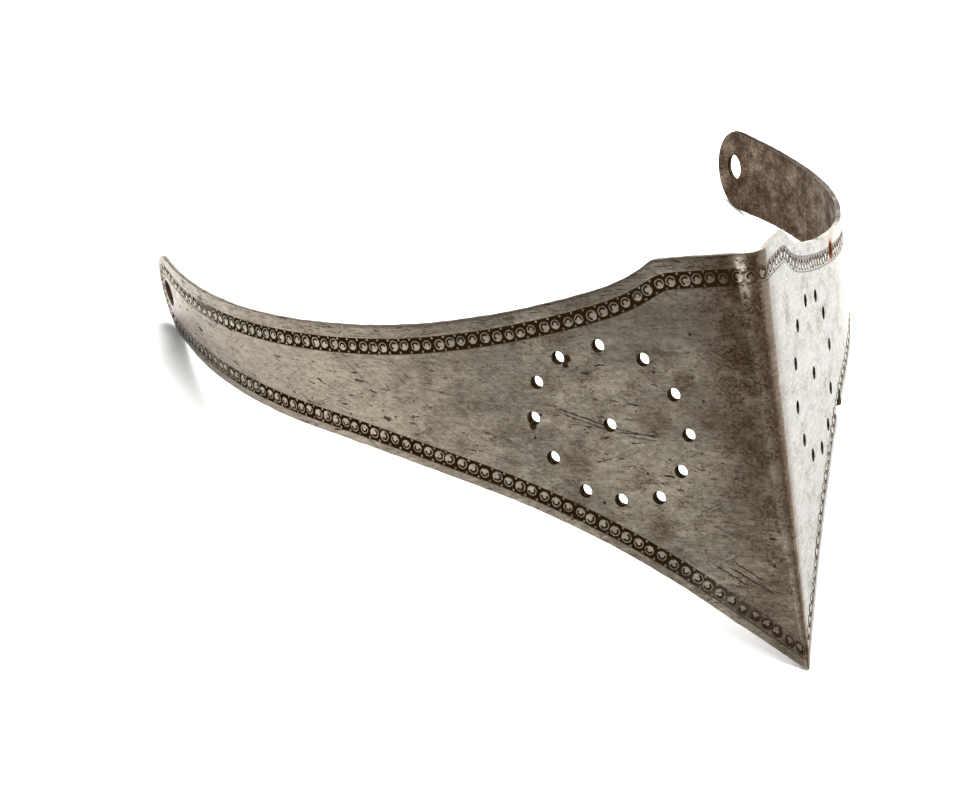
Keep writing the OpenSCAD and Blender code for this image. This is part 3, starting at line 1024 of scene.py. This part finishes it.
def keel_marks(tree, p, q, back, grain):
    """Masks along the keel: patina (on the far half partly painted shade), a strip of the near half rubbed
    bright with a painted highlight, and the dark line down its middle.
    """
    radius = tree.math("MULTIPLY_ADD", q, (KEEL_R_TOP - KEEL_R_CHIN) / KEEL_H, KEEL_R_CHIN)
    share = tree.math("DIVIDE", back, radius)
    left = tree.rise(p, *KEEL_SIDES)
    right = tree.rest(left)
    line = tree.times((share, KEEL_LINE), (grain, LINE_GRAIN))
    # The crease mask is the painted highlight on the near half of the keel, partly rubbed steel
    crease = tree.times(tree.near(share, CREASE_AT, *CREASE_RIM), right)
    crease = tree.times(crease, (q, CREASE_UP), (grain, CREASE_GRAIN))
    # Brown on the far half of the keel: partly patina, partly painted shade
    brown_and_shade = tree.times(left, (share, LEFT_BROWN), (q, LEFT_BROWN_UP))
    cheek = tree.times(right, (back, RIGHT_BROWN), (q, RIGHT_BROWN_UP))
    return tree.times(tree.most(brown_and_shade, cheek), tree.rest(crease)), crease, line


# Patina: clouds, stains, specks and dust
CLOUD = ((9, 6), 0, 6, 0.65)
DUST = ((0.9, 0.7), 0, 4, 0.7)
CLOUDED = (0.47, 0.75, 0, 0.7)
CLOUD_GRAIN = (0.32, 0.62, 0.35, 1)
STAIN_TORN = 4
STAIN_RIM = (1.9, 0.5)
SPECKED = (0.46, 0.57, 0, 0.9)
SPECK_CLOUD = (0.36, 0.55)
DUSTY = (0.52, 0.6, 0, 0.75)
DUST_CLOUD = (0.38, 0.6)
DUST_BACK = (60, 110, 1, 0.4)
KEEL_CLOUD = (0.3, 0.6, 0.6, 1)
KEEL_GRAIN = (0.3, 0.6, 0.65, 1)


def patina_masks(tree, flat, keel, back, grain):
    """Masks of brown patina, along the keel (with painted shade on its far half), in clouds and in stains,
    and of dark specks by the keel.
    """
    cloud, dust = tree.noise(flat, *CLOUD), tree.noise(flat, *DUST)
    ragged = tree.math("SUBTRACT", cloud, 0.5)
    clouds = [(cloud, CLOUDED)]
    for at, radius, strength in STAINS:
        clouds.append(tree.spot(flat, at, radius, ragged, STAIN_TORN, STAIN_RIM, strength))
    clouds = tree.times(tree.most(*clouds), (grain, CLOUD_GRAIN), (back, ARM_FADE))
    specks = tree.times((dust, SPECKED), keel, (cloud, SPECK_CLOUD))
    dust = tree.times((dust, DUSTY), (cloud, DUST_CLOUD), (back, DUST_BACK))
    keel = tree.times(keel, (cloud, KEEL_CLOUD), (grain, KEEL_GRAIN))
    return tree.most(clouds, dust, keel), specks


# Pits and hairlines: their clusters, and how few the left half has
LONG_PIT = ((4.5, 1.1), radians(-8), 6)
LONG_PITTED = (0.63, 0.65)
ARM_PITS = (70, 120, 0, 0.02)
ROUND_PIT = ((1.6, 1.2), 0, 6, 0.65)
ROUND_PITTED = (0.64, 0.66)
PIT_CLUSTERS = (0.42, 0.58, 0.1, 1)
LEFT_PITS = (0, 4, 1, 0.15)
HAIR_DETAIL = 1
HAIR_RIM = (0.018, 0)
HAIR_SPREAD = (12, 5)
HAIR_CLUSTERS = (0.46, 0.62)
LEFT_HAIRS = (0, 4, 0.6, 0.15)


def hairlines(tree, flat, turn, size):
    """Fine scratches that run along a turned axis, in clusters."""
    line = tree.near(tree.noise(flat, size, turn, HAIR_DETAIL), 0.5, *HAIR_RIM)
    return tree.times(line, (tree.noise(flat, HAIR_SPREAD, turn), HAIR_CLUSTERS))


def dark_marks(tree, flat, p, back, grain, mottle):
    """Mask of pits, scratches and hairlines."""
    pits = tree.math("ADD", tree.noise(flat, *LONG_PIT), (back, ARM_PITS))
    pits = tree.most((pits, LONG_PITTED), (tree.noise(flat, *ROUND_PIT), ROUND_PITTED))
    marks = [tree.times(pits, (mottle, PIT_CLUSTERS), (p, LEFT_PITS))]
    marks += [tree.spot(flat, at, radius, 0.0) for at, radius in PITS]
    marks += [tree.scratch(flat, *scratch, grain) for scratch in SCRATCHES]
    hairs = tree.most(*(hairlines(tree, flat, turn, size) for turn, size in HAIRLINES))
    return tree.most(*marks, tree.times(hairs, (p, LEFT_HAIRS)))


# Outer face as a whole
GRAIN = ((1.4, 0.9), 0, 5, 0.7)
RIGHT_SPECKS = (0.5, -0.5)
CATCH_GRAIN = (0.35, 0.6, 0.3, 0.9)
BRIGHT_UP = (15, 45, 0.08, 0.3)
MARK_STRENGTH = 0.9
STEEL_ROUGHNESS = (0, 1, 0.33, 0.58)
BRUSH_ROUGHNESS = (0.7, 1.3, 0.06, -0.06)
BRUSH_RELIEF, STEEL_RELIEF = 0.3, 0.06


def outer_steel():
    """Old brushed steel with brown patina, stains, pits, scratches and the etched border, and along the keel
    a painted highlight and some painted shade.
    """
    tree = Tree("Outer_steel")
    flat, p, q = tree.uv("flat")
    side, back = tree.math("SIGN", p), tree.math("ABSOLUTE", p)
    grain = tree.noise(flat, *GRAIN)
    ragged = tree.math("SUBTRACT", grain, 0.5)
    colour, lines, mottle = steel_tone(tree, flat, p, back)
    keel, wear_and_highlight, middle = keel_marks(tree, p, q, back, grain)
    patina_and_shade, specks = patina_masks(tree, flat, keel, back, grain)
    specks = tree.times(specks, (p, RIGHT_SPECKS))
    rust = tree.most(*(tree.spot(flat, at, radius, ragged) for at, radius in RUST_SPOTS))
    catch = tree.times(tree.spot(flat, CATCH_AT, CATCH_STAIN, ragged), (grain, CATCH_GRAIN))
    marks = dark_marks(tree, flat, p, back, grain, mottle)
    dark, disc, scuffs = border_marks(tree, flat, side, q, back)
    bright = tree.times(disc, tree.rest(keel), (q, BRIGHT_UP))
    # The first layer is rubbed steel with a painted highlight along the keel's near half
    layers = [
        (wear_and_highlight, STEEL_BRIGHT), (patina_and_shade, PATINA), (tree.most(middle, specks), PATINA_DARK),
        (rust, RUST_DARK), (catch, RUST), (tree.times(marks, MARK_STRENGTH), PIT),
        (scuffs, PATINA_DARK), (bright, STEEL_WORN), (dark, ETCHED),
    ]
    for mask, layer in layers:
        colour = tree.mix(mask, colour, layer)
    sunk = tree.most(dark, marks)
    dull = tree.most(sunk, rust, catch)
    roughness = tree.math("ADD", (tree.most(dull, patina_and_shade), STEEL_ROUGHNESS), (lines, BRUSH_ROUGHNESS))
    height = tree.math("SUBTRACT", tree.times(lines, BRUSH_RELIEF), sunk)
    return tree.finish(colour, roughness, tree.rest(dull), height, STEEL_RELIEF)


# Inside
SCALE_CLOUD = ((9, 7), 0, 7, 0.75)
SCALE_GRAIN = ((1.1, 0.9), 0, 5, 0.75)
SCALE_STREAK = ((0.9, 5), 0, 4, 0.6)
STREAKED = (0.42, 0.62, 0, 0.75)
SCALE_GREYED = (0.26, 0.68)
SCALE_TONE = (0.34, 0.66, 0.3, 1.45)
SCALE_ROUGHNESS = (0.35, 0.65, 0.62, 0.42)
SCALE_METAL = (0.4, 0.65, 0.2, 0.7)
SCALE_RELIEF = 0.15


def inner_scale():
    """The unpolished inside, left dark brown and mottled by the forge."""
    tree = Tree("Inner_scale")
    flat, _, _ = tree.uv("flat")
    cloud, grain, streak = (tree.noise(flat, *kind) for kind in (SCALE_CLOUD, SCALE_GRAIN, SCALE_STREAK))
    colour = tree.mix((cloud, SCALE_GREYED), SCALE_DARK, SCALE_GREY)
    colour = tree.mix((streak, STREAKED), colour, SCALE_BROWN)
    colour = tree.scale(colour, (grain, SCALE_TONE))
    return tree.finish(colour, (cloud, SCALE_ROUGHNESS), (cloud, SCALE_METAL), grain, SCALE_RELIEF)


# Edge, with grains in metres
EDGE_CLOUD = ((8 * MM, 8 * MM), 0, 5)
EDGE_GRAIN = ((0.5 * MM, 0.5 * MM), 0, 3)
EDGE_BROWNED = (0.5, 0.75)
EDGE_TONE = (0.3, 0.7, 0.7, 1.1)
EDGE_ARM = (92, 112, 0, 0.9)
EDGE_ROUGHNESS = (0.35, 0.7, 0.34, 0.55)
EDGE_RELIEF = 0.05


def edge_steel():
    """The filed edge, rubbed bright in places, and brown on the wearer's left arm."""
    tree = Tree("Edge_steel")
    _, p, _ = tree.uv("flat")
    place = tree.add("TexCoord").outputs["Object"]
    cloud, grain = tree.noise(place, *EDGE_CLOUD), tree.noise(place, *EDGE_GRAIN)
    colour = tree.mix((cloud, EDGE_BROWNED), STEEL_WORN, PATINA)
    colour = tree.mix((p, EDGE_ARM), colour, SCALE_BROWN)
    colour = tree.scale(colour, (grain, EDGE_TONE))
    return tree.finish(colour, (cloud, EDGE_ROUGHNESS), 1.0, grain, EDGE_RELIEF)


# Walls of the holes, with a grain in metres
WALL_GRAIN = ((0.8 * MM, 0.8 * MM), 0, 4)
WALL_TONE = (0.35, 0.65)
WALL_ROUGHNESS = (0.3, 0.7, 0.7, 0.5)
WALL_RELIEF = 0.1


def hole_wall(name, dark, light):
    """The wall of a hole, with scale in it, or rust in the catch hole; its near-black colour is partly
    painted shade inside the hole.
    """
    tree = Tree(name)
    grain = tree.noise(tree.add("TexCoord").outputs["Object"], *WALL_GRAIN)
    colour = tree.mix((grain, WALL_TONE), dark, light)
    return tree.finish(colour, (grain, WALL_ROUGHNESS), 0.0, grain, WALL_RELIEF)


# Stage


def add_camera():
    """The photograph's camera, found by fitting the plate's outline and holes to it."""
    lens = bpy.data.cameras.new("Camera")
    lens.sensor_width, lens.lens = SENSOR, LENS
    camera = new_object("Camera", lens)
    camera.location = Vector((0, cad_box[0].y, 0)) + Vector(CAMERA_FROM_CHIN) * MM
    camera.rotation_euler = (pi / 2 - CAMERA_RISE, 0, -CAMERA_TURN)
    bpy.context.scene.camera = camera


def add_light(name, place, size, power, colour):
    """A soft square light that faces the plate."""
    lamp = bpy.data.lights.new(name, "AREA")
    lamp.size, lamp.energy, lamp.color = size, power, colour
    light = new_object(name, lamp)
    light.visible_camera = False
    light.location = place
    light.rotation_mode = "QUATERNION"
    light.rotation_quaternion = (Vector(LIGHTS_FACE) - Vector(place)).to_track_quat("-Z", "Y")


def add_floor():
    """A pale table top that reaches past every view and turns as white as the world far from the plate."""
    shape = bmesh.new()
    bmesh.ops.create_circle(shape, cap_ends=True, segments=FLOOR_SIDES, radius=FLOOR_R)
    mesh = bpy.data.meshes.new("Floor")
    shape.to_mesh(mesh)
    shape.free()
    tree = Tree("Floor_paper")
    place = tree.add("TexCoord").outputs["Object"]
    fibre = tree.noise(place, *FLOOR_GRAIN)
    colour = tree.mix(fibre, FLOOR_COLOUR, FLOOR_LIGHT)
    away = tree.add("VectorMath", place, operation="LENGTH").outputs["Value"]
    tree.put(tree.shader.inputs["Emission Color"], WORLD_COLOUR)
    tree.put(tree.shader.inputs["Emission Strength"], tree.rise(away, *FLOOR_FADE, *FLOOR_GLOW))
    paper = tree.finish(colour, FLOOR_ROUGHNESS, 0.0, fibre, FLOOR_RELIEF)
    floor = new_object("Floor", mesh, [paper])
    floor.location.z = cad_box[0].z


def add_world():
    """Soft light from all round; the camera sees it as white as the floor."""
    world = bpy.data.worlds.new("World")
    world.use_nodes = True
    nodes, links = world.node_tree.nodes, world.node_tree.links
    back = nodes["Background"]
    back.inputs["Color"].default_value = (*WORLD_COLOUR, 1)
    seen = nodes.new("ShaderNodeLightPath").outputs["Is Camera Ray"]
    strength = nodes.new("ShaderNodeMapRange")
    strength.inputs["To Min"].default_value = WORLD_LIGHT
    strength.inputs["To Max"].default_value = WORLD_SEEN
    links.new(seen, strength.inputs["Value"])
    links.new(strength.outputs[0], back.inputs["Strength"])
    bpy.context.scene.world = world
    bpy.context.scene.view_settings.view_transform = "Standard"


plate = new_object(PIECE, plate_mesh(), [
    outer_steel(),
    edge_steel(),
    inner_scale(),
    hole_wall("Hole_wall", HOLE_DARK, HOLE_BROWN),
    hole_wall("Rusty_wall", RUST_DARK, RUST_BROWN),
])
lips = new_object("Lips", lips_mesh(), plate.data.materials)
cut(plate, lips, new_object("Cutters", cutters_mesh(), plate.data.materials))
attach(plate, "root")
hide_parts("face_plate")

add_camera()
add_floor()
add_world()
for light in LIGHTS:
    add_light(*light)
